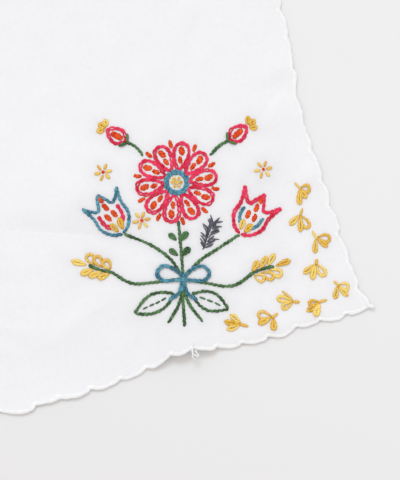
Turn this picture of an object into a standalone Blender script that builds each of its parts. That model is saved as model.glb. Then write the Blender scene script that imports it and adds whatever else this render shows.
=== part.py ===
"""A cotton stole lying open on a flat surface, as one cloth solid.

The cloth is measured from its embroidered corner: "across" runs along the end to the other
long side, and "along" runs up the long side to the far end. In the model the embroidered
corner is at +X and -Y, the length lies along Y, and the underside rests on Z = 0.
"""

import math
from collections import namedtuple
from itertools import cycle, islice

import bmesh
import bpy
from mathutils import Matrix

Scallop = namedtuple("Scallop", "width depth fullest")
Pull = namedtuple("Pull", "at inward")
Fold = namedtuple("Fold", "across along angle half_length near far height")
Pleat = namedtuple("Pleat", "across along angle half_length rise fall height")

MM = 0.001

# The cut cloth, from corner to corner, in metres
WIDTH = 0.480
LENGTH = 1.440
THICKNESS = 0.0012

# The scalloped edge: neighbouring scallops from the corner on, repeated round the edge. Each has
# its width and depth in millimetres, and the share of its width at which it is fullest. The
# hollows between them lie in from the straight line by the scallop depth, and the first and last
# begin at the corner point's distance from the corner.
END_SCALLOPS = 29
SIDE_SCALLOPS = 84
END_SHAPES = (
    Scallop(14.1, 1.5, 0.62),
    Scallop(16.1, 2.3, 0.52),
    Scallop(15.1, 1.9, 0.45),
    Scallop(17.6, 2.7, 0.47),
    Scallop(16.1, 2.3, 0.47),
    Scallop(15.1, 2.3, 0.42),
    Scallop(14.1, 2.2, 0.44),
    Scallop(13.6, 2.1, 0.50),
    Scallop(16.1, 2.0, 0.36),
    Scallop(16.6, 2.2, 0.50),
    Scallop(18.6, 2.6, 0.52),
    Scallop(19.6, 2.3, 0.42),
    Scallop(14.6, 1.1, 0.42),
    Scallop(22.6, 2.7, 0.34),
)
SIDE_SHAPES = (
    Scallop(12.6, 1.8, 0.40),
    Scallop(16.6, 1.6, 0.42),
    Scallop(18.7, 1.7, 0.42),
    Scallop(18.1, 2.6, 0.38),
    Scallop(15.9, 2.1, 0.47),
    Scallop(18.9, 1.4, 0.38),
    Scallop(16.6, 1.1, 0.40),
    Scallop(17.1, 1.1, 0.55),
    Scallop(17.7, 1.5, 0.66),
    Scallop(19.6, 1.3, 0.56),
    Scallop(17.6, 1.9, 0.42),
)
SCALLOP_DEPTH = 0.0027
CORNER_POINT = 0.0030
STEPS_IN_A_SCALLOP = 5
SCALLOP_ROUNDNESS = 0.60

# Where the edges were drawn in when the cloth was laid: metres along the side, metres inward
EMBROIDERED_END_PULLS = (
    Pull(0.000, 0.0000),
    Pull(0.017, 0.0001),
    Pull(0.033, 0.0013),
    Pull(0.048, 0.0014),
    Pull(0.057, 0.0004),
    Pull(0.066, 0.0005),
    Pull(0.082, 0.0011),
    Pull(0.097, 0.0038),
    Pull(0.111, 0.0063),
    Pull(0.124, 0.0064),
    Pull(0.140, 0.0028),
    Pull(0.157, 0.0008),
    Pull(0.176, 0.0000),
    Pull(0.217, 0.0000),
    Pull(0.232, 0.0026),
    Pull(0.290, 0.0000),
    Pull(0.385, 0.0032),
    Pull(0.440, 0.0000),
)
RIGHT_SIDE_PULLS = (
    Pull(0.000, 0.0000),
    Pull(0.016, 0.0042),
    Pull(0.032, 0.0046),
    Pull(0.051, 0.0060),
    Pull(0.084, 0.0062),
    Pull(0.103, 0.0065),
    Pull(0.120, 0.0069),
    Pull(0.136, 0.0062),
    Pull(0.154, 0.0028),
    Pull(0.174, 0.0010),
    Pull(0.191, 0.0000),
    Pull(0.400, 0.0000),
    Pull(0.520, 0.0058),
    Pull(0.670, 0.0010),
    Pull(0.860, 0.0048),
    Pull(1.010, 0.0000),
    Pull(1.180, 0.0052),
    Pull(1.320, 0.0000),
)
FAR_END_PULLS = (
    Pull(0.000, 0.0000),
    Pull(0.110, 0.0042),
    Pull(0.200, 0.0000),
    Pull(0.290, 0.0000),
    Pull(0.360, 0.0050),
    Pull(0.450, 0.0000),
)
LEFT_SIDE_PULLS = (
    Pull(0.000, 0.0000),
    Pull(0.150, 0.0050),
    Pull(0.300, 0.0006),
    Pull(0.450, 0.0062),
    Pull(0.640, 0.0000),
    Pull(0.800, 0.0044),
    Pull(0.960, 0.0000),
    Pull(1.120, 0.0058),
    Pull(1.290, 0.0004),
    Pull(1.400, 0.0000),
)
PULL_REACH = 0.110

# Folds that stand up from the surface, in metres and degrees. Each is a ridge with its middle at
# across, along. It runs at an angle from the across direction, half its length each way, and
# falls to the surface over its near width on one side and its far width on the other.
FOLDS = (
    Fold(0.114, 0.000, 86, 0.075, 0.030, 0.024, 0.0044),
    Fold(0.150, 0.060, 8, 0.150, 0.062, 0.160, 0.0042),
    Fold(0.046, 0.109, 16, 0.038, 0.022, 0.045, 0.0018),
    Fold(0.204, 0.090, 20, 0.075, 0.016, 0.018, 0.0007),
    Fold(0.470, 0.160, 12, 0.095, 0.030, 0.024, 0.0040),
    Fold(0.385, 0.000, 97, 0.110, 0.032, 0.026, 0.0042),
    Fold(0.020, 0.520, 158, 0.135, 0.034, 0.026, 0.0048),
    Fold(0.460, 0.450, 24, 0.125, 0.028, 0.036, 0.0046),
    Fold(0.235, 0.690, 76, 0.200, 0.026, 0.034, 0.0034),
    Fold(0.000, 0.860, 170, 0.105, 0.030, 0.030, 0.0040),
    Fold(0.470, 0.800, 160, 0.100, 0.032, 0.026, 0.0038),
    Fold(0.300, 1.060, 118, 0.170, 0.034, 0.026, 0.0036),
    Fold(0.030, 1.180, 20, 0.130, 0.028, 0.034, 0.0048),
    Fold(0.480, 1.120, 8, 0.105, 0.026, 0.032, 0.0044),
    Fold(0.360, 1.440, 94, 0.120, 0.030, 0.026, 0.0044),
    Fold(0.110, 1.440, 80, 0.095, 0.026, 0.030, 0.0038),
)

# A pressed line in the cloth: it stands up on the far side of the line, to its height over the
# rise, and goes down again over the fall
PLEAT = Pleat(0.165, 0.0964, 20, 0.062, 0.019, 0.050, 0.0031)

# The mesh inside the edge: strips of cloth each way, closer together near the embroidered corner
COLUMNS = 28
ROWS = 66
CLOSER_AT_CORNER = 0.42
EDGE_STRIP = 0.008
FILL_TURN = math.radians(17)

COTTON_WHITE = (0.88, 0.88, 0.90, 1.0)
COTTON_ROUGHNESS = 0.9
COLLECTION_NAME = "stole"


def clear_scene():
    for old in list(bpy.data.objects):
        bpy.data.objects.remove(old, do_unlink=True)


def place(across, along):
    """The model's x and y for a point measured from the embroidered corner."""
    return WIDTH / 2 - across, along - LENGTH / 2


def ease(share):
    return share * share * (3 - 2 * share)


def pull_at(pulls, at):
    """How far the edge is drawn in at this distance, eased from one row of the table to the next."""
    for first, second in zip(pulls, pulls[1:]):
        if first.at <= at <= second.at:
            share = ease((at - first.at) / (second.at - first.at))
            return first.inward + (second.inward - first.inward) * share
    return pulls[-1].inward


def drawn_in(pulls, at, from_edge):
    """The pull at one side, fading out into the cloth."""
    fade = max(0.0, 1 - from_edge / PULL_REACH)
    return pull_at(pulls, at) * fade * fade


def bump(share):
    """A smooth rise: 1 in the middle, 0 from a share of 1 on."""
    return (1 - share * share) ** 2 if abs(share) < 1 else 0.0


def along_and_over(across, along, line):
    """How far down a line in the cloth a point is, and how far to its far side."""
    run = math.radians(line.angle)
    right, up = across - line.across, along - line.along
    return right * math.cos(run) + up * math.sin(run), up * math.cos(run) - right * math.sin(run)


def fold_height(across, along, fold):
    down_the_fold, over_the_fold = along_and_over(across, along, fold)
    width = fold.far if over_the_fold > 0 else fold.near
    return fold.height * bump(down_the_fold / fold.half_length) * bump(over_the_fold / width)


def pleat_height(across, along, pleat):
    down_the_line, over_the_line = along_and_over(across, along, pleat)
    left_to_rise = 1 - max(0.0, min(1.0, over_the_line / pleat.rise))
    fallen = bump(max(0.0, over_the_line - pleat.rise) / pleat.fall)
    return pleat.height * bump(down_the_line / pleat.half_length) * (1 - left_to_rise**2) * fallen


def lie(across, along):
    """The place of a point of the flat cloth as it lies, on its underside."""
    right = drawn_in(RIGHT_SIDE_PULLS, along, across)
    left = drawn_in(LEFT_SIDE_PULLS, along, WIDTH - across)
    near = drawn_in(EMBROIDERED_END_PULLS, across, along)
    far = drawn_in(FAR_END_PULLS, across, LENGTH - along)
    x, y = place(across + right - left, along + near - far)
    folds = sum(fold_height(across, along, fold) for fold in FOLDS)
    return x, y, folds + pleat_height(across, along, PLEAT)


def scalloped_side(length, count, shapes):
    """One side from corner to corner, as distance along it and distance in from its straight line."""
    row = list(islice(cycle(shapes), count))
    scale = (length - 2 * CORNER_POINT) / sum(shape.width for shape in row)
    start = CORNER_POINT
    for shape in row:
        width = shape.width * scale
        lean = math.log(0.5) / math.log(shape.fullest)
        for step in range(STEPS_IN_A_SCALLOP):
            share = step / STEPS_IN_A_SCALLOP
            rise = math.sin(math.pi * share**lean) ** SCALLOP_ROUNDNESS
            yield start + share * width, SCALLOP_DEPTH - rise * shape.depth * MM
        start += width
    yield start, SCALLOP_DEPTH


def outline():
    """The flat cloth's edge, once round, as across and along."""
    end = list(scalloped_side(WIDTH, END_SCALLOPS, END_SHAPES))
    side = list(scalloped_side(LENGTH, SIDE_SCALLOPS, SIDE_SHAPES))
    embroidered_end = end
    left_side = [(WIDTH - inset, at) for at, inset in side]
    far_end = [(WIDTH - at, LENGTH - inset) for at, inset in end]
    right_side = [(inset, at) for at, inset in reversed(side)]
    return embroidered_end + left_side + far_end + right_side


def spread(share, length):
    """A strip's distance from the corner, with the strips closer together near it."""
    eased = (1 - CLOSER_AT_CORNER) * share + CLOSER_AT_CORNER * share * share
    return EDGE_STRIP + eased * (length - 2 * EDGE_STRIP)


def flat_grid(mesh):
    """The inner strips, as points across and along in x and y."""
    bmesh.ops.create_grid(mesh, x_segments=COLUMNS, y_segments=ROWS, size=1.0)
    for vert in mesh.verts:
        across_share, along_share = (vert.co.x + 1) / 2, (vert.co.y + 1) / 2
        vert.co = (spread(across_share, WIDTH), spread(along_share, LENGTH), 0.0)
    return [edge for edge in mesh.edges if edge.is_boundary]


def edge_loop(mesh, points):
    verts = [mesh.verts.new((across, along, 0.0)) for across, along in points]
    return [mesh.edges.new(pair) for pair in zip(verts, verts[1:] + verts[:1])]


def fill_between(mesh, border):
    """Fills the gap at the edge, with the flat cloth turned a little meanwhile: the fill goes wrong
    along level rows of points."""
    turned = Matrix.Rotation(FILL_TURN, 3, "Z")
    bmesh.ops.rotate(mesh, verts=mesh.verts, cent=(0, 0, 0), matrix=turned)
    bmesh.ops.triangle_fill(mesh, use_beauty=True, edges=border, normal=(0, 0, 1))
    bmesh.ops.rotate(mesh, verts=mesh.verts, cent=(0, 0, 0), matrix=turned.inverted())


def cloth_surface():
    """The cloth's underside: inner strips, joined to the scalloped edge, then laid down."""
    mesh = bmesh.new()
    border = flat_grid(mesh) + edge_loop(mesh, outline())
    fill_between(mesh, border)
    for vert in mesh.verts:
        vert.co = lie(vert.co.x, vert.co.y)
    bmesh.ops.recalc_face_normals(mesh, faces=mesh.faces)
    if sum(face.normal.z for face in mesh.faces) < 0:
        bmesh.ops.reverse_faces(mesh, faces=mesh.faces)
    data = bpy.data.meshes.new("stole_cloth")
    mesh.to_mesh(data)
    mesh.free()
    return data


def cotton():
    material = bpy.data.materials.new("white_cotton")
    material.use_nodes = True
    shader = material.node_tree.nodes["Principled BSDF"]
    shader.inputs["Base Color"].default_value = COTTON_WHITE
    shader.inputs["Roughness"].default_value = COTTON_ROUGHNESS
    shader.inputs["Metallic"].default_value = 0.0
    return material


def build():
    clear_scene()
    collection = bpy.data.collections.new(COLLECTION_NAME)
    bpy.context.scene.collection.children.link(collection)
    cloth = bpy.data.objects.new("stole_cloth", cloth_surface())
    cloth.data.materials.append(cotton())
    collection.objects.link(cloth)
    thicken = cloth.modifiers.new("cloth_thickness", "SOLIDIFY")
    thicken.thickness = THICKNESS
    thicken.offset = 1.0


build()
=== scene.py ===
"""A white cotton stole, hand embroidered at one corner, laid open on a pale floor.

The cloth is measured from its embroidered corner: "across" runs along the end to the other
long side, and "along" runs up the long side to the far end. Lengths are in metres, but for the
embroidery's own pattern, which is in the picture's millimetres from that corner.
"""

import math
import random
from bisect import bisect_right
from collections import namedtuple
from functools import lru_cache
from itertools import accumulate, cycle, islice

import bmesh
import bpy
from mathutils import Matrix, Vector, noise
from mathutils.kdtree import KDTree


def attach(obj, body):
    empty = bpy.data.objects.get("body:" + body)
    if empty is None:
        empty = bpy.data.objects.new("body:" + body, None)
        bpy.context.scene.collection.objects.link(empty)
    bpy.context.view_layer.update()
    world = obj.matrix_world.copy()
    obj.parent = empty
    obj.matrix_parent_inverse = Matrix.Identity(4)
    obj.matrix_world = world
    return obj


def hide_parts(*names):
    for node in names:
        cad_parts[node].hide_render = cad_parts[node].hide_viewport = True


Scallop = namedtuple("Scallop", "width depth fullest")
Pull = namedtuple("Pull", "at inward")
Ridge = namedtuple("Ridge", "across along angle half_length near far height")
Pleat = namedtuple("Pleat", "across along angle half_length rise fall height")
Sprig = namedtuple("Sprig", "right up stem_right stem_up leaves")
Leaf = namedtuple("Leaf", "heading length kind")
Dye = namedtuple("Dye", "slot piece light dark")

MM = 0.001
NUMBER, VECTOR = "NodeSocketFloat", "NodeSocketVector"

# The cut cloth, from corner to corner
WIDTH = 0.480
LENGTH = 1.440
CLOTH_THICKNESS = 0.0004
WEAVE_HEIGHT = 0.00012

# The scalloped edge: neighbouring scallops from the corner on, repeated round the edge. Each has
# its width and depth in millimetres, and the share of its width at which it is fullest. The
# hollows between them lie in from the straight line by the scallop depth, and the first and last
# begin at the corner point's distance from the corner.
END_SCALLOPS = 29
SIDE_SCALLOPS = 84
END_SHAPES = (
    Scallop(14.1, 1.5, 0.62),
    Scallop(16.1, 2.3, 0.52),
    Scallop(15.1, 1.9, 0.45),
    Scallop(17.6, 2.7, 0.47),
    Scallop(16.1, 2.3, 0.47),
    Scallop(15.1, 2.3, 0.42),
    Scallop(14.1, 2.2, 0.44),
    Scallop(13.6, 2.1, 0.50),
    Scallop(16.1, 2.0, 0.36),
    Scallop(16.6, 2.2, 0.50),
    Scallop(18.6, 2.6, 0.52),
    Scallop(19.6, 2.3, 0.42),
    Scallop(14.6, 1.1, 0.42),
    Scallop(22.6, 2.7, 0.34),
)
SIDE_SHAPES = (
    Scallop(12.6, 1.8, 0.40),
    Scallop(16.6, 1.6, 0.42),
    Scallop(18.7, 1.7, 0.42),
    Scallop(18.1, 2.6, 0.38),
    Scallop(15.9, 2.1, 0.47),
    Scallop(18.9, 1.4, 0.38),
    Scallop(16.6, 1.1, 0.40),
    Scallop(17.1, 1.1, 0.55),
    Scallop(17.7, 1.5, 0.66),
    Scallop(19.6, 1.3, 0.56),
    Scallop(17.6, 1.9, 0.42),
)
SCALLOP_DEPTH = 0.0027
CORNER_POINT = 0.0030
STEPS_IN_A_SCALLOP = 8
SCALLOP_ROUNDNESS = 0.60

# Where the edges were drawn in when the cloth was laid: metres along the side, metres inward
EMBROIDERED_END_PULLS = (
    Pull(0.000, 0.0000),
    Pull(0.017, 0.0001),
    Pull(0.033, 0.0013),
    Pull(0.048, 0.0014),
    Pull(0.057, 0.0004),
    Pull(0.066, 0.0005),
    Pull(0.082, 0.0011),
    Pull(0.097, 0.0038),
    Pull(0.111, 0.0063),
    Pull(0.124, 0.0064),
    Pull(0.140, 0.0028),
    Pull(0.157, 0.0008),
    Pull(0.176, 0.0000),
    Pull(0.217, 0.0000),
    Pull(0.232, 0.0026),
    Pull(0.290, 0.0000),
    Pull(0.385, 0.0032),
    Pull(0.440, 0.0000),
)
RIGHT_SIDE_PULLS = (
    Pull(0.000, 0.0000),
    Pull(0.016, 0.0042),
    Pull(0.032, 0.0046),
    Pull(0.051, 0.0060),
    Pull(0.084, 0.0062),
    Pull(0.103, 0.0065),
    Pull(0.120, 0.0069),
    Pull(0.136, 0.0062),
    Pull(0.154, 0.0028),
    Pull(0.174, 0.0010),
    Pull(0.191, 0.0000),
    Pull(0.400, 0.0000),
    Pull(0.520, 0.0058),
    Pull(0.670, 0.0010),
    Pull(0.860, 0.0048),
    Pull(1.010, 0.0000),
    Pull(1.180, 0.0052),
    Pull(1.320, 0.0000),
)
FAR_END_PULLS = (
    Pull(0.000, 0.0000),
    Pull(0.110, 0.0042),
    Pull(0.200, 0.0000),
    Pull(0.290, 0.0000),
    Pull(0.360, 0.0050),
    Pull(0.450, 0.0000),
)
LEFT_SIDE_PULLS = (
    Pull(0.000, 0.0000),
    Pull(0.150, 0.0050),
    Pull(0.300, 0.0006),
    Pull(0.450, 0.0062),
    Pull(0.640, 0.0000),
    Pull(0.800, 0.0044),
    Pull(0.960, 0.0000),
    Pull(1.120, 0.0058),
    Pull(1.290, 0.0004),
    Pull(1.400, 0.0000),
)
PULL_REACH = 0.110

# Folds that stand up from the floor. Each is a ridge with its middle at across, along. It runs at
# an angle in degrees from the across direction, half its length each way, and falls to the floor
# over its near width on one side and its far width on the other.
FOLDS = (
    Ridge(0.114, 0.000, 86, 0.075, 0.030, 0.024, 0.0044),
    Ridge(0.150, 0.060, 8, 0.150, 0.062, 0.160, 0.0042),
    Ridge(0.046, 0.109, 16, 0.038, 0.022, 0.045, 0.0018),
    Ridge(0.195, 0.000, 0, 0.050, 0.016, 0.007, 0.0008),
    Ridge(0.055, 0.006, 0, 0.062, 0.004, 0.010, 0.0007),
    Ridge(0.204, 0.090, 20, 0.075, 0.016, 0.018, 0.0008),
    Ridge(0.0198, 0.1305, 141, 0.022, 0.0075, 0.024, 0.0014),
    Ridge(0.0087, 0.0896, 141, 0.012, 0.007, 0.010, 0.0010),
    Ridge(0.470, 0.160, 12, 0.095, 0.030, 0.024, 0.0040),
    Ridge(0.385, 0.000, 97, 0.110, 0.032, 0.026, 0.0042),
    Ridge(0.020, 0.520, 158, 0.135, 0.034, 0.026, 0.0048),
    Ridge(0.460, 0.450, 24, 0.125, 0.028, 0.036, 0.0046),
    Ridge(0.235, 0.690, 76, 0.200, 0.026, 0.034, 0.0034),
    Ridge(0.000, 0.860, 170, 0.105, 0.030, 0.030, 0.0040),
    Ridge(0.470, 0.800, 160, 0.100, 0.032, 0.026, 0.0038),
    Ridge(0.300, 1.060, 118, 0.170, 0.034, 0.026, 0.0036),
    Ridge(0.030, 1.180, 20, 0.130, 0.028, 0.034, 0.0048),
    Ridge(0.480, 1.120, 8, 0.105, 0.026, 0.032, 0.0044),
    Ridge(0.360, 1.440, 94, 0.120, 0.030, 0.026, 0.0044),
    Ridge(0.110, 1.440, 80, 0.095, 0.026, 0.030, 0.0038),
)

# Sharp ridges in the cloth near the corner, with their crest at across, along
CREASES = (
    Ridge(0.1700, 0.0437, 161, 0.042, 0.011, 0.013, 0.0012),
    Ridge(0.0155, 0.1550, -8, 0.020, 0.008, 0.0125, 0.0011),
    Ridge(0.215, 0.052, 32, 0.026, 0.008, 0.006, 0.0006),
    Ridge(0.060, 0.200, 118, 0.040, 0.009, 0.007, 0.0006),
    Ridge(0.120, 0.225, 70, 0.050, 0.010, 0.008, 0.0006),
)
CREASE_SHARPNESS = 1.15

# Pressed lines: the cloth stands up at once on the far side of the line, to its height over the
# rise, and goes down again over the fall
PLEATS = (
    Pleat(0.165, 0.0964, 20, 0.062, 0.019, 0.050, 0.0031),
)

# Crisp pressed lines in the cloth's surface: a lip that stands up sharply on its far side and
# falls slowly on its near side
LIPS = (
    Ridge(0.2073, 0.1100, 20, 0.058, 0.008, 0.0013, 0.00055),
    Ridge(0.1560, 0.0850, 110, 0.013, 0.006, 0.0015, 0.00022),
)

# Small unevenness of the cloth's surface, over and above its folds
RIPPLE_SIZE = 0.018
RIPPLE_HEIGHT = 0.00080
WRINKLE_SIZE = 0.034
WRINKLE_HEIGHT = 0.00070
PUCKER_SIZE = 0.0075
PUCKER_HEIGHT = 0.00085
PUCKER_REACH = 0.085
RIM_CURL = 0.0003
RIM_CURL_SIZE = 0.030
RIM_CURL_LAYER = 0.5

# The cloth's mesh: fine strips by the embroidered corner, wider ones beyond
FINE_STRIP = 0.0015
FINE_ACROSS = 0.234
FINE_ALONG = 0.204
WIDE_COLUMNS = 28
WIDE_ROWS = 92
WIDENING = 1.3
EDGE_STRIP = 0.0045
FILL_TURN = math.radians(17)

# The overcast thread that binds the edge, with a turn every two rings of its mesh
EDGE_THREAD_WIDTH = 0.0026
EDGE_THREAD_HEIGHT = 0.0011
EDGE_OVERHANG = 0.0002
EDGE_RING = 0.00046
EDGE_SIDES = 8
EDGE_SLANT = 0.0009
EDGE_GROOVE = 0.12
EDGE_LUMP = 0.34
EDGE_LUMP_SIZE = 0.0030
EDGE_LUMP_LAYER = 2.0
EDGE_WANDER = 0.0006
EDGE_WANDER_SIZE = 0.0060
EDGE_WANDER_LAYER = 5.0
EDGE_SMOOTHING = 1
EDGE_LIFT_REACH = 0.018
RIM_LIFT = (EDGE_THREAD_HEIGHT - CLOTH_THICKNESS) / 2
CLOTH_TUCK = 0.0007
CUSP_KNOT = 0.14
CUSP_REACH = 0.0005

# The pointed stubs of thread at the corners, and the curl that has worked loose from the edge, its
# path in the picture's millimetres ahead and to the left of where it starts
STUB_START = (0.0040, 0.0042)
STUB_END = (-0.0006, 0.0018)
STUB_TURNS = 3
STUB_SPREAD = 0.35
STUB_SIDES = 10
STUB_WIDTH = 2.2 * MM
STUB_LIFT = 0.15 * MM
LOOSE_THREAD = (-108.5, -21.3, 90.0)
LOOSE_CURL = ((1.8, 0.6), (-0.7, 1.0), (-3.9, 1.1), (-5.4, 0.1), (-6.5, -2.0), (-5.7, -2.7), (-4.6, -1.5),
              (-3.0, -0.4), (-3.4, -1.2), (-4.4, -2.4))
LOOSE_CURL_RINGS = 60
LOOSE_TAIL = ((1.2, -0.2), (-1.6, 0.5), (-4.4, 0.7), (-6.4, 0.9), (-7.8, 0.2), (-8.6, -1.0), (-8.9, -2.0))
LOOSE_TAIL_RINGS = 36
LOOSE_SIDES = 8
LOOSE_WIDTH = 0.85 * MM
LOOSE_LIFT = 0.5 * MM

# The floss and how it lies
FLOSS_WIDTH = 1.9 * MM
FINE_FLOSS = 1.25 * MM
FLOSS_SIDES = 12
FLOSS_RINGS = 8
FLOSS_FLATNESS = 0.74
STRAND_GROOVE = 0.24
TWIST_LENGTH = 7.5 * MM
BLUNT_END = 0.45
WIDTH_JITTER = 0.15
PLACE_JITTER = 0.20 * MM
PLUNGE = 1.2 * MM
ARCH = 0.5
SUNK = 0.25
DEEPEST = 0.25 * MM
UNDER_SHORTEST = 0.9 * MM
UNDER_LONGEST = 9.0 * MM
UNDER_WIDTH = 0.8
UNDER_SIDES = 8
UNDER_RINGS = 5

# A thread's tone, which differs from stitch to stitch, and how much painted shade darkens it where it
# dives into the cloth, at its sides and in its grooves
TONE_RANGE = (0.22, 0.88)
END_SHADE = 1.7
END_SHADE_REACH = 0.7 * MM
END_SHADE_SHARE = 0.12
END_SHADE_LONGEST = 1.1 * MM
SIDE_SHADE = 0.7
GROOVE_SHADE = 0.6

# The stitches
STEM_STITCH = 4.2 * MM
STEM_ADVANCE = 2.7 * MM
STEM_LEAN = 0.58 * MM
STEM_STEPS = 4
CHAIN_STITCH = 3.3 * MM
CHAIN_BREADTH = 2.75 * MM
CHAIN_FLOSS = 1.45 * MM
CHAIN_OVERLAP = 0.9 * MM
CHAIN_TIP = 1.0
CHAIN_BLUNTNESS = 2.0
LOOP_WIDEST = 0.77
LOOP_STEPS = 24
LOOP_SIDES = 10
LOOP_RINGS = 20
SATIN_PITCH = 0.95 * MM
SATIN_FEWEST = 3
SATIN_SLANT = 0.42
SATIN_END = 0.13
SATIN_ROUNDNESS = 0.6
SATIN_FLOSS = 1.35 * MM
LEAF_FLOSS = 2.2 * MM
LEAF_BREADTH = 3.9 * MM
LEAF_KINDS = {"filled": 1.0, "open": 1.5, "round": 1.2}
LEAF_TIP = 0.25
LEAF_BLUNTNESS = 1.1
LEAF_TIE = 0.45 * MM
KNOT_RADIUS = 0.62 * MM
KNOT_TURNS = 1.6
KNOT_STEPS = 12
KNOT_SIDES = 8
KNOT_RINGS = 18
KNOT_LIFT = 0.22 * MM
KNOT_TOP = 0.66 * MM
CURVE_STEPS = 8
RING_TURNS = range(0, 420, 30)

# The nine leaf sprigs along the corner: the place they spread from, the end of their short stem,
# and their leaves, with headings in degrees to the left of the picture's right
SPRIG_STEM = 1.9 * MM
SPRIG_STEM_BACK = 0.4
SPRIG_LEAF_START = 0.6
SPRIG_LEAF_SHORTER = 0.4
SPRIG_GROWTH = 1.12
# How much painted shade the sprigs' stitches put on the cloth round them
SPRIG_SHADE_WEIGHT = 0.4
SPRIGS = (
    Sprig(-45.2, 73.5, -48.5, 77.1,
          (Leaf(270, 9.0, "filled"), Leaf(352, 6.2, "open"), Leaf(305, 6.6, "filled"))),
    Sprig(-44.6, 57.6, -43.1, 61.5,
          (Leaf(225, 8.4, "filled"), Leaf(269, 9.6, "filled"), Leaf(300, 9.0, "open"))),
    Sprig(-35.3, 43.5, -37.9, 47.7,
          (Leaf(266, 8.4, "filled"), Leaf(357, 8.2, "open"), Leaf(322, 7.8, "filled"))),
    Sprig(-35.3, 27.9, -34.7, 30.9,
          (Leaf(218, 8.8, "filled"), Leaf(255, 8.8, "filled"), Leaf(306, 8.4, "open"))),
    Sprig(-22.4, 15.3, -25.1, 17.7,
          (Leaf(343, 6.4, "open"), Leaf(312, 8.2, "filled"), Leaf(257, 7.8, "filled"))),
    Sprig(-32.9, 5.1, -28.7, 6.3,
          (Leaf(190, 6.6, "round"), Leaf(218, 9.0, "filled"), Leaf(250, 8.4, "filled"))),
    Sprig(-48.5, 5.1, -44.9, 4.5,
          (Leaf(137, 9.0, "single"), Leaf(168, 9.6, "round"), Leaf(208, 7.8, "round"))),
    Sprig(-61.1, -3.9, -58.1, -1.5,
          (Leaf(174, 8.6, "open"), Leaf(206, 9.0, "filled"), Leaf(270, 7.4, "filled"))),
    Sprig(-80.0, -8.7, -75.5, -9.9,
          (Leaf(137, 8.4, "filled"), Leaf(170, 9.6, "filled"), Leaf(198, 8.6, "filled"))),
)

# The nosegay's middle, on the cloth and in the picture's millimetres, and its stems from there
MOTIF_ACROSS = 0.097
MOTIF_ALONG = 0.082
NOSEGAY_RIGHT = -116.9
NOSEGAY_UP = 52.5
NOSEGAY_STEMS = (
    ((2, -34), (1, -20), (-1, 1)),
    ((2, -34), (-5, -23), (-17, -14), (-34, -7)),
    ((2, -34), (12, -23), (24, -15), (36, -7)),
    ((2, -34), (-12, -36), (-28, -37), (-41, -30)),
    ((2, -34), (18, -37), (32, -38), (43, -31)),
    ((2, -34), (0, -48), (-7, -61)),
    ((2, -34), (2, -48), (3, -63)),
    ((2, -34), (5, -48), (14, -60)),
    ((-21.8, 40), (-26.6, 45.6), (-33, 49)),
    ((17.9, 40), (23.1, 45.9), (30, 50)),
)

# Where the nosegay's parts stand from its middle: millimetres right and up, and their headings
NOSEGAY_STALK = (1, -31, 95)
NOSEGAY_ROUND_FLOWER = (-2, 24)
NOSEGAY_TULIPS = ((-34, -7, 124), (36, -7, 58))
NOSEGAY_EARS = ((-41, -30, 164), (43, -31, 20))
NOSEGAY_LEAVES = (((-3, -43, 206), 27), ((7, -43, -22), 24))
NOSEGAY_BUDS = ((-33, 49, 146), (30, 50, 38))
NOSEGAY_FERN = (14, -17, 70)
NOSEGAY_STARS = ((-23, 1), (-46, 30), (50, 32))
NOSEGAY_BOW = (2, -34)

# The nosegay's flowers and leaves, with places in millimetres ahead and to the left of where they
# start, and grains as where they begin and end and how broad they are
PETALS = 10
PETAL_START = 8.0
PETAL_TURN = 9
PETAL_OUTLINE = ((0, 0), (4, 2.9), (10, 4.5), (14.5, 3.3), (16, 0), (14.5, -3.3), (10, -4.5), (4, -2.9),
                 (0, 0))
PETAL_GRAINS = ((3.8, 8.0, 3.6), (9.2, 13.8, 4.8))
GRAIN_BETWEEN_PETALS = (21.4, 25.8, 3.2)
FLOWER_RINGS = (7.0, 5.6)
FLOWER_KNOTS = 6
FLOWER_KNOT_RING = 2.6
TULIP_SIDE = ((0, 0), (2.5, 5.5), (9, 9.8), (17, 9.8), (26, 12.5))
TULIP_NOTCH = ((26, 12.5), (21.5, 9.0), (19, 5.0), (23, 2.6), (28, 0))
TULIP_LINING = ((5.5, 3.6), (10, 6.2), (16, 6.6))
TULIP_GRAINS = ((10.5, 2.2), (10.5, -2.2), (16.6, 0), (22.2, 0))
TULIP_GRAIN = (0, 4.6, 4.0)
TULIP_FOOT = (2.0, 1.4, 14)
TULIP_FOOT_LEAF = 7.4
EAR_STEM = ((-2, 0), (6, 0.6), (14.5, 0))
EAR_TIP = 15.0
EAR_TIP_LEAF = 9.8
EAR_PAIRS = ((0.5, 8.0), (5.4, 9.0), (10.4, 9.0))
EAR_LEAVES = ((40, "filled"), (-40, "open"))
ALMOND_BREADTH = 11
ALMOND_EDGE = ((0, 0), (0.3, 0.42), (0.62, 0.46), (1, 0))
ALMOND_VEIN = ((0.2, 0), (0.5, 0.4), (0.8, 0))
FERN_FLOSS = 0.95 * MM
FERN_SPINE = ((0, 0), (9, 0.8), (19, 0))
FERN_STEPS = 9
FERN_START = 1.5
FERN_PITCH = 2.0
FERN_TURNS = (62, -62, 34, -34)
FERN_TURN_JITTER = 16
FERN_INSET = 0.3
FERN_LONGEST = 6.8
FERN_LONGEST_STEP = 3.6
FERN_SHORTENING = 0.5
FERN_LENGTH_JITTER = 1.2
BUD_OUTLINE = ((0, 0), (4, 4.3), (9, 3.4), (12.4, 0), (9, -3.4), (4, -4.3), (0, 0))
BUD_GRAIN = (2.4, 9.6, 4.8)
BUD_CUP_TURN = 62
BUD_CUP_START = -1.6
BUD_CUP_SPREAD = -1.0
BUD_CUP_LENGTH = 5.4
BUD_TIP = 12.6
BUD_TIP_TURNS = (42, 0, -42)
BUD_TIP_INSET = 1.4
BUD_TIP_LEAF = 5.6
STAR_TURNS = range(12, 372, 60)
STAR_START = 1.3
STAR_LEAF = 4.6
STALK_LEAVES = ((10.8, 48), (10.8, -48), (19.8, 42), (19.8, -42))
STALK_LEAF = 6.8
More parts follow.
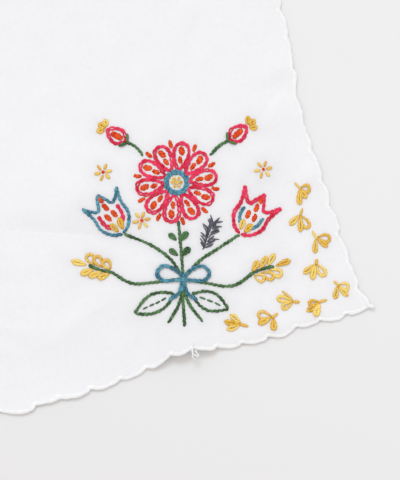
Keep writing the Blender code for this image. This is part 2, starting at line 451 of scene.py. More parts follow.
STALK_LEAF_ASIDE = 1.2
BOW_LIFT = 0.6 * MM
BOW_LOOPS = ((168, -1), (12, 1))
BOW_LOOP = ((0, 0), (6, 4.2), (13, 5), (16, 0), (12, -3.6), (6, -2.4), (0, 0))
BOW_TAILS = ((238, 1), (302, -1))
BOW_TAIL = ((1, 0), (8, 2.5), (15, 0))

# The threads: their slots, the pieces that hold their stitches, and their colours, lit and in
# painted shade
DYES = {
    "pink": Dye("pink_thread", "pink_chain_stitches", (1.00, 0.072, 0.180), (0.56, 0.000, 0.014)),
    "orange": Dye("orange_thread", "orange_satin_stitches", (1.00, 0.150, 0.028), (0.54, 0.008, 0.000)),
    "teal": Dye("teal_thread", "teal_stem_stitches", (0.155, 0.430, 0.550), (0.008, 0.080, 0.140)),
    "green": Dye("green_thread", "green_stem_stitches", (0.135, 0.285, 0.115), (0.006, 0.036, 0.006)),
    "yellow": Dye("yellow_thread", "yellow_leaf_stitches", (1.00, 0.790, 0.230), (0.70, 0.340, 0.010)),
    "grey": Dye("grey_thread", "grey_seed_stitches", (0.170, 0.170, 0.215), (0.036, 0.036, 0.054)),
}

# The cotton's darker and lighter colour, its yarns, slubs and patches to the metre, and how much
# they lighten it. Small patches of painted shade darken it near the stitches, most near crowded ones.
COTTON_COLOURS = ((0.804, 0.802, 0.822, 1), (0.948, 0.946, 0.965, 1))
COTTON_ROUGHNESS = 0.92
YARNS = 2600.0
YARN_RELIEF = 0.25
SLUB_ACROSS = 1100.0
SLUB_ALONG = 60.0
BROAD_PATCHES = 60.0
SMALL_PATCHES = 320.0
SLUB_SHARE = 0.4
BROAD_SHARE = 0.25
SMALL_SHARE = 0.35
PAINTED_SHADE_SHARE = -0.9

# The fibres and fuzz of a thread: how high they stand and how much painted highlight they add, and
# how its tone is spread. Then each kind of thread's own finish.
RIDGE_RISE = 0.7
FUZZ_RISE = 0.6
RIDGE_LIT = 0.6
FUZZ_LIT = 0.55
TONE_SPREAD = (1.05, -0.15)
FLOSS_ROUGHNESS = 0.5
FLOSS_STRANDS = 6.0
FLOSS_TWIST = 5.0
FLOSS_SHEEN = 0.03
FLOSS_SHINE = 0.12
FLOSS_FIBRE_HEIGHT = 0.10 * MM
EDGE_COLOURS = ((0.792, 0.792, 0.804, 1), (0.947, 0.947, 0.952, 1))
EDGE_ROUGHNESS = 0.65
EDGE_PATCHES = 400.0
EDGE_STRANDS = 2.0
EDGE_TWIST = 7.0
EDGE_FIBRE_HEIGHT = 0.12 * MM

# The scale, detail and roughness of the noise in the shared groups
SLUB_NOISE = (1.0, 2.0, 0.6)
FUZZ_NOISE = (6.0, 2.0, 0.7)
MOTTLE_NOISE = (3.0, 0.55)

# The photograph's frame: its size in pixels, the pixel of the stole's corner, the size of a pixel
# on the cloth, how far the stole's length leans to the left, and how high the camera looks from
PICTURE_SIZE = (400, 480)
CORNER_PIXEL = (374.8, 310.5)
METRES_PER_PIXEL = 0.0006
PICTURE_LEAN = math.radians(16.4)
CAMERA_ELEVATION = math.radians(84)
CAMERA_DISTANCE = 1.6
SENSOR_HEIGHT = 24.0

# The light: a wide soft sun from the upper left of the picture, and an even sky
SUN_ELEVATION = math.radians(46)
SUN_TURN = math.radians(15)
SUN_STRENGTH = 0.82
SUN_COLOUR = (0.89, 1.02, 1.14)
SUN_ANGLE = math.radians(22)
SKY_STRENGTH = 0.852
SKY_COLOUR = (1.024, 0.996, 0.970, 1.0)

# The floor, just under the stole, with painted shade a little darker towards the lower left of the picture
FLOOR_DEPTH = 0.0002
FLOOR_SIZE = 12.0
FLOOR_COLOURS = ((0.791, 0.7765, 0.7765, 1), (0.8355, 0.8355, 0.8355, 1))
FLOOR_ROUGHNESS = 0.8
FLOOR_PATCHES = 3.0
FLOOR_PATCH_SHARE = 0.12
FLOOR_SHADE_ASIDE = 0.25
FLOOR_SHADE_DIRECTION = (math.sin(PICTURE_LEAN) + FLOOR_SHADE_ASIDE, math.cos(PICTURE_LEAN), 0.0)
FLOOR_PAINTED_SHADE = (-0.80, -0.45)

# Names of the maps that materials read, and small measures for the mesh work
CLOTH_MAP = "flat_place"
THREAD_MAP = "thread_place"
TONE = "tone"
STITCH_SHADE = "stitch_shade"
STITCH_SHADE_REACH = 4.2 * MM
SHADE_MARKS = 3
SAME_PLACE = 0.000001
LOOK_AHEAD = 0.02
LAYING_TRIES = 5
SHARP_ANGLE = math.radians(60)


def place(across, along):
    """The x and y of a point measured from the embroidered corner."""
    return WIDTH / 2 - across, along - LENGTH / 2


def ease(share):
    return share * share * (3 - 2 * share)


def pull_at(pulls, at):
    """How far the edge is drawn in at this distance, eased from one row of the table to the next."""
    for first, second in zip(pulls, pulls[1:]):
        if first.at <= at <= second.at:
            share = ease((at - first.at) / (second.at - first.at))
            return first.inward + (second.inward - first.inward) * share
    return pulls[-1].inward


def drawn_in(pulls, at, from_edge):
    """The pull at one side, fading out into the cloth."""
    if from_edge >= PULL_REACH:
        return 0.0
    fade = 1 - from_edge / PULL_REACH
    return pull_at(pulls, at) * fade * fade


def bump(share):
    """A smooth rise: 1 in the middle, 0 from a share of 1 on."""
    return (1 - share * share) ** 2 if abs(share) < 1 else 0.0


def within_one(share):
    """A share kept between 0 and 1."""
    return max(0.0, min(1.0, share))


def uneven(across, along, size, layer=0.0):
    """Smooth noise from -1 to 1 in patches of this size, different in each layer."""
    return noise.noise(Vector((across, along, layer)) / size)


def from_nearest_edge(across, along):
    return min(across, WIDTH - across, along, LENGTH - along)


def small_unevenness(across, along):
    """Faint ripples and wrinkles all over, and puckers where the embroidery draws the cloth up."""
    ripple = 0.5 + 0.5 * uneven(across, along, RIPPLE_SIZE)
    wrinkle = 1 - abs(uneven(across, along, WRINKLE_SIZE))
    from_motif = math.hypot(across - MOTIF_ACROSS, along - MOTIF_ALONG)
    pucker = (0.5 + 0.5 * uneven(across, along, PUCKER_SIZE)) * bump(from_motif / PUCKER_REACH)
    inside = within_one(from_nearest_edge(across, along) / RIPPLE_SIZE)
    return (RIPPLE_HEIGHT * ripple + WRINKLE_HEIGHT * wrinkle + PUCKER_HEIGHT * pucker) * inside


def along_and_over(across, along, line):
    """How far down a line in the cloth a point is, and how far to its far side."""
    run = math.radians(line.angle)
    right, up = across - line.across, along - line.along
    return right * math.cos(run) + up * math.sin(run), up * math.cos(run) - right * math.sin(run)


def sharp(share):
    """A sharp rise: 1 in the middle, 0 from a share of 1 on."""
    return max(0.0, 1 - abs(share)) ** CREASE_SHARPNESS


def ridge_height(across, along, ridge, section):
    """The height of a fold or crease, whose cross section is a function of the share of its width."""
    down_the_line, over_the_line = along_and_over(across, along, ridge)
    width = ridge.far if over_the_line > 0 else ridge.near
    return ridge.height * bump(down_the_line / ridge.half_length) * section(over_the_line / width)


def pleat_height(across, along, pleat):
    down_the_line, over_the_line = along_and_over(across, along, pleat)
    left_to_rise = 1 - within_one(over_the_line / pleat.rise)
    fallen = bump(max(0.0, over_the_line - pleat.rise) / pleat.fall)
    return pleat.height * bump(down_the_line / pleat.half_length) * (1 - left_to_rise**2) * fallen


def rim_height(across, along):
    """How far the rim stands up: half the edge thread, and a slight, uneven curl."""
    from_edge = from_nearest_edge(across, along)
    near_rim = ease(within_one((EDGE_LIFT_REACH - from_edge) / (EDGE_LIFT_REACH - SCALLOP_DEPTH)))
    curl = RIM_CURL * (0.5 + 0.5 * uneven(across, along, RIM_CURL_SIZE, RIM_CURL_LAYER))
    return (RIM_LIFT + curl) * near_rim


def underside_height(across, along):
    """The height of the cloth's underside above the floor."""
    folds = sum(ridge_height(across, along, fold, bump) for fold in FOLDS)
    creases = sum(ridge_height(across, along, crease, sharp) for crease in CREASES)
    pleats = sum(pleat_height(across, along, pleat) for pleat in PLEATS)
    return folds + creases + pleats + rim_height(across, along) + small_unevenness(across, along)


def laid(across, along):
    """Where a point of the flat cloth comes to lie, across and along, with the edges drawn in."""
    right = drawn_in(RIGHT_SIDE_PULLS, along, across)
    left = drawn_in(LEFT_SIDE_PULLS, along, WIDTH - across)
    near = drawn_in(EMBROIDERED_END_PULLS, across, along)
    far = drawn_in(FAR_END_PULLS, across, LENGTH - along)
    return Vector((across + right - left, along + near - far))


def flat_place_of(point):
    """The flat place of a point that lies here, found by trying and correcting."""
    flat = point
    for _ in range(LAYING_TRIES):
        flat = flat + point - laid(*flat)
    return flat


def lie(across, along, above=0.0):
    """The place of a point of the flat cloth as it lies, this far above its underside."""
    x, y = place(*laid(across, along))
    return Vector((x, y, underside_height(across, along) + above))


def scalloped_side(length, count, shapes):
    """One side from corner to corner, as distance along it and distance in from its straight line."""
    widths = [shape.width for shape in islice(cycle(shapes), count)]
    scale = (length - 2 * CORNER_POINT) / sum(widths)
    hollows = [CORNER_POINT + scale * reached for reached in accumulate(widths, initial=0.0)]
    for shape, start, stop in zip(cycle(shapes), hollows, hollows[1:]):
        lean = math.log(0.5) / math.log(shape.fullest)
        for step in range(STEPS_IN_A_SCALLOP):
            share = step / STEPS_IN_A_SCALLOP
            rise = math.sin(math.pi * share**lean) ** SCALLOP_ROUNDNESS
            yield start + share * (stop - start), SCALLOP_DEPTH - rise * shape.depth * MM
    yield hollows[-1], SCALLOP_DEPTH


def outline():
    """The flat cloth's edge, once round, as across and along, without the points at its corners."""
    embroidered_end = list(scalloped_side(WIDTH, END_SCALLOPS, END_SHAPES))
    side = list(scalloped_side(LENGTH, SIDE_SCALLOPS, SIDE_SHAPES))
    left_side = [(WIDTH - inset, at) for at, inset in side]
    far_end = [(WIDTH - at, LENGTH - inset) for at, inset in embroidered_end]
    right_side = [(inset, at) for at, inset in reversed(side)]
    return [Vector(point) for point in embroidered_end + left_side + far_end + right_side]


def neighbours(points):
    """Each point of a closed outline with the ones before and after it."""
    return zip(points[-1:] + points[:-1], points, points[1:] + points[:1])


def tucked_in(points, distance):
    """A closed outline moved inward, to the left of its direction."""
    moved = []
    for before, point, after in neighbours(points):
        run = (after - before).normalized()
        moved.append(point + Vector((-run.y, run.x)) * distance)
    return moved


def strip_places(length, fine, wide_strips):
    """Distances of the strips from the corner: even ones up to the fine reach, then wider ones."""
    fine_strips = round(fine / FINE_STRIP)
    rest = length - 2 * EDGE_STRIP - fine
    even = [fine * number / fine_strips for number in range(fine_strips)]
    wide = [fine + rest * (number / wide_strips) ** WIDENING for number in range(wide_strips + 1)]
    return [EDGE_STRIP + distance for distance in even + wide]


def flat_grid(mesh):
    """The inner strips, as points across and along in x and y."""
    columns = strip_places(WIDTH, FINE_ACROSS, WIDE_COLUMNS)
    rows = strip_places(LENGTH, FINE_ALONG, WIDE_ROWS)
    bmesh.ops.create_grid(mesh, x_segments=len(columns) - 1, y_segments=len(rows) - 1, size=1.0)
    for vert in mesh.verts:
        column = round((vert.co.x + 1) / 2 * (len(columns) - 1))
        row = round((vert.co.y + 1) / 2 * (len(rows) - 1))
        vert.co = (columns[column], rows[row], 0.0)
    return [edge for edge in mesh.edges if edge.is_boundary]


def edge_loop(mesh, points):
    verts = [mesh.verts.new((across, along, 0.0)) for across, along in points]
    return [mesh.edges.new(pair) for pair in zip(verts, verts[1:] + verts[:1])]


def fill_between(mesh, border):
    """Fills the gap at the edge, with the flat cloth turned a little meanwhile: the fill goes wrong
    along level rows of points."""
    turned = Matrix.Rotation(FILL_TURN, 3, "Z")
    bmesh.ops.rotate(mesh, verts=mesh.verts, cent=(0, 0, 0), matrix=turned)
    bmesh.ops.triangle_fill(mesh, use_beauty=True, edges=border, normal=(0, 0, 1))
    bmesh.ops.rotate(mesh, verts=mesh.verts, cent=(0, 0, 0), matrix=turned.inverted())


def finished_object(name, mesh, material):
    """A piece from a finished bmesh, smooth shaded but for its sharp edges."""
    data = bpy.data.meshes.new(name)
    for face in mesh.faces:
        face.smooth = True
    mesh.to_mesh(data)
    mesh.free()
    data.set_sharp_from_angle(angle=SHARP_ANGLE)
    data.materials.append(material)
    piece = bpy.data.objects.new(name, data)
    bpy.context.scene.collection.objects.link(piece)
    return piece


def corners_of(faces):
    return [loop for face in faces for loop in face.loops]


def keep_flat_places(mesh):
    """Writes each point's flat place, across and along in metres, into the cloth's UV map."""
    flat = mesh.loops.layers.uv.new(CLOTH_MAP)
    for loop in corners_of(mesh.faces):
        loop[flat].uv = loop.vert.co.xy


def keep_stitch_shade(mesh, stitched):
    """Writes painted shade by how near each flat point is to weighted stitches, fading from 1 to 0."""
    shade = mesh.verts.layers.float.new(STITCH_SHADE)
    tree = KDTree(len(stitched))
    for number, (point, _) in enumerate(stitched):
        tree.insert(point.to_3d(), number)
    tree.balance()
    for vert in mesh.verts:
        _, number, distance = tree.find(vert.co)
        vert[shade] = stitched[number][1] * math.exp(-distance / STITCH_SHADE_REACH)


def make_cloth(material, stitched):
    """The cloth: inner strips joined to the scalloped edge, laid down and given its thickness."""
    mesh = bmesh.new()
    rim = tucked_in(outline(), CLOTH_TUCK)
    border = flat_grid(mesh) + edge_loop(mesh, rim)
    fill_between(mesh, border)
    keep_flat_places(mesh)
    keep_stitch_shade(mesh, stitched)
    for vert in mesh.verts:
        vert.co = lie(vert.co.x, vert.co.y)
    made = bmesh.ops.extrude_face_region(mesh, geom=mesh.faces[:], use_keep_orig=True)
    for part in made["geom"]:
        if isinstance(part, bmesh.types.BMVert):
            part.co.z += CLOTH_THICKNESS
    bmesh.ops.recalc_face_normals(mesh, faces=mesh.faces)
    return finished_object("cotton_cloth", mesh, material)


def even_loop(points, spacing):
    """A closed outline as evenly spaced points."""
    line = Run(points + points[:1])
    count = 2 * round(line.length / spacing / 2)
    return [line.point(line.length * number / count) for number in range(count)]


def eased_loop(points, times):
    """A closed outline with its kinks softened."""
    for _ in range(times):
        points = [(before + point * 2 + after) / 4 for before, point, after in neighbours(points)]
    return points


def edge_thread_size(point):
    """How thick the edge thread is at this place: uneven, and thicker in the edge's hollows."""
    knot = 1 + CUSP_KNOT * bump((SCALLOP_DEPTH - from_nearest_edge(*point)) / CUSP_REACH)
    return knot * (1 + EDGE_LUMP * uneven(*point, EDGE_LUMP_SIZE, EDGE_LUMP_LAYER))


def make_edge_thread(material):
    """The thread that is wound over the edge, as one cord with a groove between its turns."""
    edge = even_loop(outline(), EDGE_RING)
    middle = eased_loop(tucked_in(edge, EDGE_THREAD_WIDTH / 2 - EDGE_OVERHANG), EDGE_SMOOTHING)
    centres = [lie(*point, CLOTH_THICKNESS / 2) for point in middle]
    sizes = [edge_thread_size(point) for point in edge]
    wander = [EDGE_WANDER * uneven(*point, EDGE_WANDER_SIZE, EDGE_WANDER_LAYER) for point in edge]
    rings = len(centres)
    mesh = bmesh.new()
    wound = mesh.loops.layers.uv.new(THREAD_MAP)
    bmesh.ops.create_grid(mesh, x_segments=EDGE_SIDES, y_segments=rings, size=1.0, calc_uvs=True)
    for vert in mesh.verts:
        ring = round((vert.co.y + 1) / 2 * rings)
        turn = math.pi * (vert.co.x + 1)
        here = ring % rings
        run = (centres[(ring + 1) % rings] - centres[here - 1]).normalized()
        side = Vector((run.y, -run.x, 0)).normalized()
        size = sizes[here] * (1 - EDGE_GROOVE * (ring % 2))
        out = side * (math.cos(turn) * EDGE_THREAD_WIDTH / 2 * size + wander[here])
        rise = Vector((0, 0, EDGE_THREAD_HEIGHT / 2 * max(-1.0, math.sin(turn) * size)))
        vert.co = centres[here] + out + rise + run * (math.cos(turn) * EDGE_SLANT / 2)
    for loop in corners_of(mesh.faces):
        loop[wound].uv.y *= rings * EDGE_RING / MM
    bmesh.ops.remove_doubles(mesh, verts=mesh.verts, dist=SAME_PLACE)
    bmesh.ops.recalc_face_normals(mesh, faces=mesh.faces)
    return finished_object("edge_overcasting", mesh, material)


def sew_corner_stubs(white):
    """The pointed ends of thread at the four corners."""
    for across, inward in ((0.0, 1), (WIDTH, -1)):
        for along, up in ((0.0, 1), (LENGTH, -1)):
            start, tip = (Vector((across + inward * x, along + up * y)) for x, y in (STUB_START, STUB_END))
            for number in range(STUB_TURNS):
                begin = start.lerp(tip, number / STUB_TURNS * STUB_SPREAD)
                white.lay(straight_run(begin, tip), STUB_WIDTH, STUB_LIFT, STUB_SIDES)


def sew_loose_thread(white):
    """A curl of thread that has worked loose from the edge, and its tail."""
    start = Spot(*LOOSE_THREAD)
    white.lay(start.line(*LOOSE_CURL), LOOSE_WIDTH, LOOSE_LIFT, LOOSE_SIDES, LOOSE_CURL_RINGS)
    white.lay(start.line(*LOOSE_TAIL), LOOSE_WIDTH, LOOSE_LIFT, LOOSE_SIDES, LOOSE_TAIL_RINGS)


class Run:
    """A line on the flat cloth, measured by its own length."""

    def __init__(self, points):
        self.points = list(points)
        self.reached = [0.0]
        for first, second in zip(self.points, self.points[1:]):
            self.reached.append(self.reached[-1] + (second - first).length)
        self.length = self.reached[-1]

    def point(self, distance):
        distance = min(max(distance, 0.0), self.length)
        leg = min(bisect_right(self.reached, distance), len(self.points) - 1) - 1
        leg_length = self.reached[leg + 1] - self.reached[leg]
        share = (distance - self.reached[leg]) / leg_length if leg_length else 0.0
        return self.points[leg].lerp(self.points[leg + 1], share)

    def at(self, distance):
        """The point this far along, and the line's direction there."""
        look = self.length * LOOK_AHEAD
        direction = self.point(distance + look) - self.point(distance - look)
        return self.point(distance), direction.normalized()

    def part(self, start, stop, steps, aside):
        """A stretch of the line, with each point moved aside by a function of its share."""
        points = []
        for step in range(steps + 1):
            point, direction = self.at(start + (stop - start) * step / steps)
            points.append(point + beside(direction) * aside(step / steps))
        return Run(points)


def straight_run(start, stop):
    """A straight line with a point in its middle."""
    return Run([start, start.lerp(stop, 0.5), stop])


def beside(direction):
    """The direction on the flat cloth that is square to this one."""
    return Vector((direction.y, -direction.x))


def smooth(points):
    """Points along a smooth curve through the given ones, closed if the last is the first."""
    closed = (points[0] - points[-1]).length < SAME_PLACE
    before = points[-2] if closed else points[0] * 2 - points[1]
    after = points[1] if closed else points[-1] * 2 - points[-2]
    row = [before, *points, after]
    curve = []
    for a, b, c, d in zip(row, row[1:], row[2:], row[3:]):
        for step in range(CURVE_STEPS):
            share = step / CURVE_STEPS
            square = (a * 2 - b * 5 + c * 4 - d) * share**2
            cube = (b * 3 - a - c * 3 + d) * share**3
            curve.append((b * 2 + (c - a) * share + square + cube) / 2)
    return curve + [points[-1]]


class Spot:
    """A place in the picture's millimetres from the stole's corner, with a heading in degrees."""

    def __init__(self, right, up, heading=0.0):
        self.right, self.up, self.heading = right, up, heading

    def move(self, forward, left=0.0, turn=0.0):
        angle = math.radians(self.heading)
        right = self.right + forward * math.cos(angle) - left * math.sin(angle)
        up = self.up + forward * math.sin(angle) + left * math.cos(angle)
        return Spot(right, up, self.heading + turn)

    def flat(self):
        """The place on the flat cloth that comes to lie here."""
        lean_right, lean_up = math.sin(PICTURE_LEAN), math.cos(PICTURE_LEAN)
        across = -(self.right * lean_up + self.up * lean_right) * MM
        along = (self.up * lean_up - self.right * lean_right) * MM
        return flat_place_of(Vector((across, along)))

    def line(self, *rows):
        """A smooth line through points forward and to the left of here."""
        return Run(smooth([self.move(*row).flat() for row in rows]))

    def ring(self, radius):
        """A ring whose end runs on past its start."""
        return Run(smooth([self.move(0, 0, turn).move(radius).flat() for turn in RING_TURNS]))


@lru_cache(maxsize=None)
def thread_shape(sides, rings):
    """A round form with its ends on z, which each stitch bends and stretches to its own line."""
    shape = bmesh.new()
    shape.loops.layers.uv.new(THREAD_MAP)
    bmesh.ops.create_uvsphere(shape, u_segments=sides, v_segments=rings, radius=1.0, calc_uvs=True)
    data = bpy.data.meshes.new("thread_shape")
    shape.to_mesh(data)
    shape.free()
    return data


class Needlework:
    """All the stitches of one thread in one mesh, and points along them weighting their painted shade."""

    def __init__(self, seed):
        self.chance = random.Random(seed)
        self.chance_under = random.Random(seed)
        self.mesh = bmesh.new()
        self.map = self.mesh.loops.layers.uv.new(THREAD_MAP)
        self.tone = self.mesh.verts.layers.float.new(TONE)
        self.stitched = []
        self.shade_weight = 1.0
        self.came_from = None

    def jitter(self, amount):
        return self.chance.uniform(-amount, amount)

    def nudged(self, point):
        return point + Vector((self.jitter(PLACE_JITTER), self.jitter(PLACE_JITTER)))

    def lay(self, line, width=FLOSS_WIDTH, over=0.0, sides=FLOSS_SIDES, rings=FLOSS_RINGS):
        """One thread along a line on the cloth, and its way there from the last one, under the cloth."""
        start, stop = line.points[0], line.points[-1]
        if self.came_from and UNDER_SHORTEST < (start - self.came_from).length < UNDER_LONGEST:
            way = straight_run(self.came_from, start)
            self.bend(way, width * UNDER_WIDTH, self.chance_under, UNDER_SIDES, UNDER_RINGS, side_up=-1)
        self.came_from = stop
        marks = [line.length * number / SHADE_MARKS for number in range(SHADE_MARKS + 1)]
        self.stitched += [(line.point(mark), self.shade_weight) for mark in marks]
        self.bend(line, width, self.chance, sides, rings, over)

    def bend(self, line, width, chance, sides, rings, over=0.0, side_up=1):
        """A thread shape bent to a line on one side of the cloth, its ends going into the cloth."""
        width *= 1 + chance.uniform(-WIDTH_JITTER, WIDTH_JITTER)
        height = width * FLOSS_FLATNESS
        tone, turn_at_start = chance.uniform(*TONE_RANGE), chance.uniform(0, math.tau)
        surface = CLOTH_THICKNESS if side_up > 0 else 0.0
        dark_end = max(END_SHADE_REACH, END_SHADE_SHARE * line.length)
        dives = min(dark_end, END_SHADE_LONGEST) / line.length
        plunge = min(0.5, PLUNGE / line.length)
        first_vert, first_face = len(self.mesh.verts), len(self.mesh.faces)
        self.mesh.from_mesh(thread_shape(sides, rings))
        for vert in list(self.mesh.verts)[first_vert:]:
            share = math.acos(max(-1.0, min(1.0, -vert.co.z))) / math.pi
            strand = round(math.atan2(vert.co.y, vert.co.x) / math.tau * sides)
            turn = strand / sides * math.tau + turn_at_start + share * line.length / TWIST_LENGTH * math.tau
            groove = 1 - STRAND_GROOVE * (strand % 2)
            thick = math.sin(math.pi * share) ** BLUNT_END * groove / 2 if 0 < share < 1 else 0.0
            centre, direction = line.at(share * line.length)
            from_end = min(share, 1 - share)
            side = beside(direction) * (math.cos(turn) * width * thick * side_up)
            up = ARCH * ease(min(1.0, from_end / plunge)) - SUNK + math.sin(turn) * thick
            above = max(-DEEPEST, height * up + over)
            vert.co = lie(centre.x + side.x, centre.y + side.y, surface + above * side_up)
            vert.co.z = max(0.0, vert.co.z)
            # Painted shade: darker where the thread dives into the cloth, on its lower sides and in its
            # grooves
            dived = 1 - min(1.0, from_end / dives)
            shaded = SIDE_SHADE * (1 - max(0.0, math.sin(turn))) + GROOVE_SHADE * (strand % 2)
            vert[self.tone] = tone - END_SHADE * dived - shaded
        for loop in corners_of(list(self.mesh.faces)[first_face:]):
            loop[self.map].uv.y *= line.length / MM

    def straight(self, start, stop, width=FLOSS_WIDTH, over=0.0):
        """One straight stitch, with its ends a little out of place."""
        self.lay(straight_run(self.nudged(start), self.nudged(stop)), width, over)

    def stem_line(self, line, width=FLOSS_WIDTH):
        """Slanted stitches that overlap by half, like a rope."""
        count = max(1, round((line.length - STEM_STITCH) / STEM_ADVANCE) + 1)
        advance = (line.length - STEM_STITCH) / max(1, count - 1)
        for number in range(count):
            start = number * advance
            lean = STEM_LEAN + self.jitter(PLACE_JITTER)
            stitch = line.part(start, start + STEM_STITCH, STEM_STEPS, lambda share: lean * (1 - 2 * share))
            self.lay(stitch, width)

    def running_line(self, line, width):
        """Straight stitches end to end."""
        count = max(1, round(line.length / STEM_STITCH))
        for number in range(count):
            start, stop = (line.point(line.length * (number + end) / count) for end in (0, 1))
            self.straight(start, stop, width)

    def loop(self, line, start, stop, breadth, width, over=0.0, tip=CHAIN_TIP, bluntness=CHAIN_BLUNTNESS):
        """One looped stitch along a stretch of a line, narrow where it starts."""
        points = []
        for step in range(LOOP_STEPS + 1):
            angle = math.tau * step / LOOP_STEPS
            centre, direction = line.at(start + (stop - start) * math.sin(angle / 2) ** bluntness)
            aside = math.sin(angle) * math.sin(angle / 2) ** tip / LOOP_WIDEST * (breadth - width) / 2
            points.append(centre + beside(direction) * aside)
        self.lay(Run(points), width, over, LOOP_SIDES, LOOP_RINGS)

    def chain_line(self, line, over=0.0):
        """Loops that each start inside the last one."""
        count = max(1, round(line.length / CHAIN_STITCH))
        for number in range(count):
            start = line.length * number / count
            stop = line.length * (number + 1) / count + CHAIN_OVERLAP
            breadth = CHAIN_BREADTH * (1 + self.jitter(WIDTH_JITTER))
            self.loop(line, start, stop, breadth, CHAIN_FLOSS, over)

    def satin(self, spot, near, far, breadth):
        """A grain of slanting stitches laid side by side, from near to far ahead of a spot."""
        line = Run([spot.move(near).flat(), spot.move(far).flat()])
        count = max(SATIN_FEWEST, round(line.length / SATIN_PITCH))
        for number in range(count):
            share = (number + 0.5) / count
            centre, direction = line.at(line.length * share)
            roundness = math.sin(math.pi * (SATIN_END + (1 - 2 * SATIN_END) * share)) ** SATIN_ROUNDNESS
            half = (beside(direction) + direction * SATIN_SLANT) * (breadth * MM / 2 * roundness)
            self.straight(centre - half, centre + half, SATIN_FLOSS)

    def leaf(self, spot, length, kind="filled"):
        """A looped leaf, tied down at its tip, or a single thin stitch."""
        base, tip = self.nudged(spot.flat()), self.nudged(spot.move(length).flat())
        if kind == "single":
            self.straight(base, tip)
            return
        line = Run([base, tip])
        stop, breadth = line.length - LEAF_FLOSS / 2, LEAF_BREADTH * LEAF_KINDS[kind]
        self.loop(line, 0.0, stop, breadth, LEAF_FLOSS, tip=LEAF_TIP, bluntness=LEAF_BLUNTNESS)
        self.straight(line.point(line.length - LEAF_FLOSS), tip, FINE_FLOSS, over=LEAF_TIE)

    def knot(self, spot):
        """A knot of thread wound round the needle, with a stitch across its top."""
        centre = self.nudged(spot.flat())
        start = self.chance.uniform(0, math.tau)
        coil = []
        for step in range(round(KNOT_TURNS * KNOT_STEPS) + 1):
            angle = start + math.tau * step / KNOT_STEPS
            coil.append(centre + Vector((math.cos(angle), math.sin(angle))) * KNOT_RADIUS)
        self.lay(Run(coil), FINE_FLOSS, KNOT_LIFT, KNOT_SIDES, KNOT_RINGS)
        self.lay(Run([coil[-1], centre, coil[KNOT_STEPS // 2]]), FINE_FLOSS, KNOT_TOP)


def sew_sprigs(thread):
    """Each sprig's short stem, and its leaves, which spread from the stem's foot."""
    # The sprigs put less painted shade on the cloth than the nosegay
    thread.shade_weight = SPRIG_SHADE_WEIGHT
    for sprig in SPRIGS:
        base = Spot(sprig.right, sprig.up).flat()
        stem = Spot(sprig.stem_right, sprig.stem_up).flat()
        thread.straight(base * (1 + SPRIG_STEM_BACK) - stem * SPRIG_STEM_BACK, stem, SPRIG_STEM)
        for leaf in sprig.leaves:
            start = Spot(sprig.right, sprig.up, leaf.heading).move(SPRIG_LEAF_START)
            thread.leaf(start, leaf.length * SPRIG_GROWTH - SPRIG_LEAF_SHORTER, leaf.kind)


def mirrored(rows, side):
    """A pattern's rows as they are, or on the other side of its middle line for a side of -1."""
    return [(forward, left * side) for forward, left in rows]


def sew_round_flower(threads, centre):
    """Looped petals with two grains in each and one between them, round a ring with knots in it."""
    for number in range(PETALS):
        petal = centre.move(0, 0, 360 / PETALS * number + PETAL_TURN).move(PETAL_START)
        threads["pink"].chain_line(petal.line(*PETAL_OUTLINE))
        for grain in PETAL_GRAINS:
            threads["orange"].satin(petal, *grain)
        between = centre.move(0, 0, 360 / PETALS * (number + 0.5) + PETAL_TURN)
        threads["orange"].satin(between, *GRAIN_BETWEEN_PETALS)
    for radius in FLOWER_RINGS:
        threads["teal"].stem_line(centre.ring(radius))
    threads["yellow"].knot(centre)
    for number in range(FLOWER_KNOTS):
        threads["yellow"].knot(centre.move(0, 0, 360 / FLOWER_KNOTS * number).move(FLOWER_KNOT_RING))


def sew_tulip(threads, base, rim, lining):
    """A three-pointed cup, lined at its sides, with grains in its middle and loops at its foot."""
    foot_forward, foot_left, foot_turn = TULIP_FOOT
    for side in (1, -1):
        rim(base.line(*mirrored(TULIP_SIDE, side)))
        rim(base.line(*mirrored(TULIP_NOTCH, side)))
        lining(base.line(*mirrored(TULIP_LINING, side)))
        threads["yellow"].leaf(base.move(foot_forward, foot_left * side, foot_turn * side), TULIP_FOOT_LEAF)
    for place_in_cup in TULIP_GRAINS:
        threads["orange"].satin(base.move(*place_in_cup), *TULIP_GRAIN)


def sew_wheat_ear(threads, base):
    """A stem with leaves in pairs and one at its tip."""
    threads["green"].stem_line(base.line(*EAR_STEM))
    threads["yellow"].leaf(base.move(EAR_TIP), EAR_TIP_LEAF)
    for forward, length in EAR_PAIRS:
        for turn, kind in EAR_LEAVES:
            threads["yellow"].leaf(base.move(forward, math.copysign(1.0, turn), turn), length, kind)


def sew_leaf(thread, base, length):
    """An almond leaf with a vein of running stitches."""
    for side in (1, -1):
        edge = [(length * forward, side * ALMOND_BREADTH * left) for forward, left in ALMOND_EDGE]
        thread.stem_line(base.line(*edge))
    vein = [(length * forward, left) for forward, left in ALMOND_VEIN]
    thread.running_line(base.line(*vein), FINE_FLOSS)


def sew_fern(thread, base):
    """Feathered seed stitches, thick on both sides of a spine."""
    thread.stem_line(base.line(*FERN_SPINE), FERN_FLOSS)
    for step in range(FERN_STEPS):
        length = FERN_LONGEST - abs(step - FERN_LONGEST_STEP) * FERN_SHORTENING
        for turn in FERN_TURNS:
            heading = turn + thread.jitter(FERN_TURN_JITTER)
            start = base.move(FERN_START + step * FERN_PITCH, 0, heading).move(FERN_INSET)
            stop = start.move(length + thread.jitter(FERN_LENGTH_JITTER))
            thread.straight(start.flat(), stop.flat(), FERN_FLOSS, over=thread.chance.uniform(0, LEAF_TIE))


